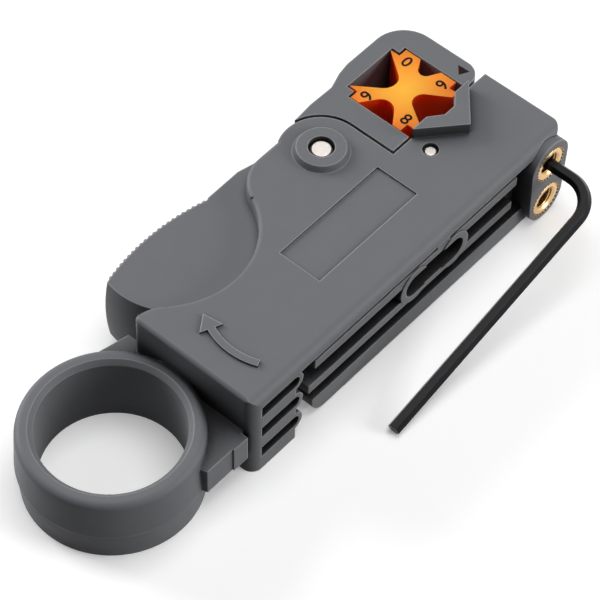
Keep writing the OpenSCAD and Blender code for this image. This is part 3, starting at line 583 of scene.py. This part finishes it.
# %% Ribs on the thumb lever
THUMB_CENTRE = Vector((23.3, 28.5, 0.0)) * MM
THUMB_RADIUS = 42.37 * MM
THUMB_BULGE = 0.33 * MM
FIRST_RIB, LAST_RIB = math.radians(193.0), math.radians(164.5)
RIBS = 22
RIB_RADIUS = 0.42 * MM
rib_tree, rib_in = new_tree("thumb_ribs", [("Radius", FLOAT), ("Bulge", FLOAT), ("Low", FLOAT), ("High", FLOAT),
                                           ("First", FLOAT), ("Step", FLOAT), ("Count", COUNT), ("Section", FLOAT),
                                           ("Finish", FINISH)])


def tree_math(tree, operation, first, second=0.0):
    """One arithmetic node; each value may be a number or a socket."""
    made = tree.nodes.new("ShaderNodeMath")
    made.operation = operation
    for socket, value in zip(made.inputs, (first, second)):
        if isinstance(value, bpy.types.NodeSocket):
            tree.links.new(value, socket)
        else:
            socket.default_value = value
    return made.outputs[0]


low_end = add_node(rib_tree, "ShaderNodeCombineXYZ", Z=rib_in.outputs["Low"])
high_end = add_node(rib_tree, "ShaderNodeCombineXYZ", Z=rib_in.outputs["High"])
mid_height = tree_math(rib_tree, "MULTIPLY", tree_math(rib_tree, "ADD", rib_in.outputs["Low"], rib_in.outputs["High"]), 0.5)
crown_out = tree_math(rib_tree, "MULTIPLY", rib_in.outputs["Bulge"], 2.0)
crown_point = add_node(rib_tree, "ShaderNodeCombineXYZ", X=crown_out, Z=mid_height)
crown_arc = add_node(rib_tree, "GeometryNodeCurveQuadraticBezier", Resolution=8, Start=low_end.outputs[0],
                     Middle=crown_point.outputs[0], End=high_end.outputs[0])
rib_section = add_node(rib_tree, "GeometryNodeCurvePrimitiveCircle", Resolution=12, Radius=rib_in.outputs["Section"])
rib = add_node(rib_tree, "GeometryNodeCurveToMesh", Curve=crown_arc.outputs[0], Profile_Curve=rib_section.outputs[0])
rib.inputs["Fill Caps"].default_value = True
row = add_node(rib_tree, "GeometryNodeMeshLine", Count=rib_in.outputs["Count"])
number = rib_tree.nodes.new("GeometryNodeInputIndex").outputs[0]
angle = tree_math(rib_tree, "ADD", tree_math(rib_tree, "MULTIPLY", number, rib_in.outputs["Step"]), rib_in.outputs["First"])
rib_x = tree_math(rib_tree, "MULTIPLY", tree_math(rib_tree, "COSINE", angle), rib_in.outputs["Radius"])
rib_y = tree_math(rib_tree, "MULTIPLY", tree_math(rib_tree, "SINE", angle), rib_in.outputs["Radius"])
rib_place = add_node(rib_tree, "ShaderNodeCombineXYZ", X=rib_x, Y=rib_y)
rib_turn = add_node(rib_tree, "ShaderNodeCombineXYZ", Z=angle)
placed = add_node(rib_tree, "GeometryNodeSetPosition", Geometry=row.outputs[0], Position=rib_place.outputs[0])
rib_row = add_node(rib_tree, "GeometryNodeInstanceOnPoints", Points=placed.outputs[0], Instance=rib.outputs[0],
                   Rotation=rib_turn.outputs[0])
rib_smooth = add_node(rib_tree, "GeometryNodeSetShadeSmooth", Geometry=rib_row.outputs[0])
finish_tree(rib_tree, rib_in, rib_smooth.outputs[0])

lever_heights = [v.co.z for v in nodes["rocker"].data.vertices if v.co.y < 45 * MM]
thumb_ribs = run_tree(rib_tree, {"Radius": THUMB_RADIUS - 0.2 * MM, "Bulge": THUMB_BULGE,
                                 "Low": min(lever_heights) + 0.03 * MM, "High": max(lever_heights) - 0.03 * MM,
                                 "First": FIRST_RIB, "Step": (LAST_RIB - FIRST_RIB) / (RIBS - 1), "Count": RIBS,
                                 "Section": RIB_RADIUS, "Finish": grey_plastic})
thumb_ribs.transform(Matrix.Translation(THUMB_CENTRE))
add_piece("thumb_ribs", thumb_ribs, grey_plastic, "rocker")
print("placed", RIBS, "ribs on the thumb lever")

# %% [markdown]
# ## Brass inserts
# Each insert has a real M4 thread in its mouth and a knurl that bites into the plastic. The thread is a ridge
# with three sides along a helix, at the pitch of 0.7 mm. The knurl is one small tooth, set round a circle by a
# second tree, in the chamfer where insert and plastic meet. Between the teeth the chamfer is a dark gap, and its
# shade is painted: a thin black ring lies in it.

# %% Insert threads and knurls
PITCH = 0.7 * MM
THREAD_DEEP = 1.07 * MM
THREAD_START = 0.25 * MM
SHADOW_RING_WIDE = 0.3 * MM
KNURLS = 28
knurl_tree, knurl_in = new_tree("knurl", [("Radius", FLOAT), ("Count", COUNT), ("Tooth", FLOAT), ("Finish", FINISH)])
ring = add_node(knurl_tree, "GeometryNodeCurvePrimitiveCircle", Resolution=knurl_in.outputs["Count"],
                Radius=knurl_in.outputs["Radius"])
tooth_size = add_node(knurl_tree, "ShaderNodeCombineXYZ", X=knurl_in.outputs["Tooth"], Y=knurl_in.outputs["Tooth"],
                      Z=knurl_in.outputs["Tooth"])
tooth = add_node(knurl_tree, "GeometryNodeMeshCube", Size=tooth_size.outputs[0])
points = add_node(knurl_tree, "GeometryNodeCurveToPoints", {"mode": "EVALUATED"}, Curve=ring.outputs[0])
teeth = add_node(knurl_tree, "GeometryNodeInstanceOnPoints", Points=points.outputs["Points"],
                 Instance=tooth.outputs["Mesh"], Rotation=points.outputs["Rotation"])
finish_tree(knurl_tree, knurl_in, teeth.outputs[0])



def washer_mesh(inner, outer, thick, corners=64):
    """A flat ring round Z, from 0 up to thick."""
    shape = bmesh.new()
    loops = []
    for radius, height in ((inner, 0), (outer, 0), (outer, thick), (inner, thick)):
        turns = [2 * math.pi * i / corners for i in range(corners)]
        loops.append([shape.verts.new((radius * math.cos(a), radius * math.sin(a), height)) for a in turns])
    for near, far in zip(loops, loops[1:] + loops[:1]):
        for i in range(corners):
            j = (i + 1) % corners
            shape.faces.new((near[i], near[j], far[j], far[i]))
    bmesh.ops.recalc_face_normals(shape, faces=shape.faces)
    mesh = bpy.data.meshes.new("washer")
    shape.to_mesh(mesh)
    shape.free()
    return mesh


for level in ("upper", "lower"):
    low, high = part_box("insert_" + level)
    middle = (low + high) / 2
    outer = (high.y - low.y) / 2
    bore = 2.05 * MM
    thread = helix_mesh(bore - 0.02 * MM, THREAD_DEEP, THREAD_DEEP / PITCH, 0.22 * MM, 3, brass)
    thread.transform(Matrix.Translation((high.x - THREAD_DEEP - THREAD_START, middle.y, middle.z)) @ ALONG_X)
    add_piece("thread_" + level, thread, brass, "body")
    knurl = run_tree(knurl_tree, {"Radius": outer - 0.02 * MM, "Count": KNURLS, "Tooth": 0.26 * MM, "Finish": brass})
    knurl.transform(Matrix.Translation((high.x - 0.1 * MM, middle.y, middle.z)) @ ALONG_X)
    add_piece("knurl_" + level, knurl, brass, "body")
    # Painted shade: a thin black ring stands in for the shadow in the gap round the knurl
    painted_gap_shadow = washer_mesh(outer - SHADOW_RING_WIDE / 2, outer + SHADOW_RING_WIDE / 2, 0.02 * MM)
    painted_gap_shadow.transform(Matrix.Translation((high.x - 0.005 * MM, middle.y, middle.z)) @ ALONG_X)
    add_piece("knurl_painted_shadow_" + level, painted_gap_shadow, ink_and_painted_shadow, "body")
print("threaded two inserts, with", KNURLS, "knurls each")

# %% [markdown]
# ## Close the scene
# The box below is the size of the dressed model.

# %% Sizes and finish
low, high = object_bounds()
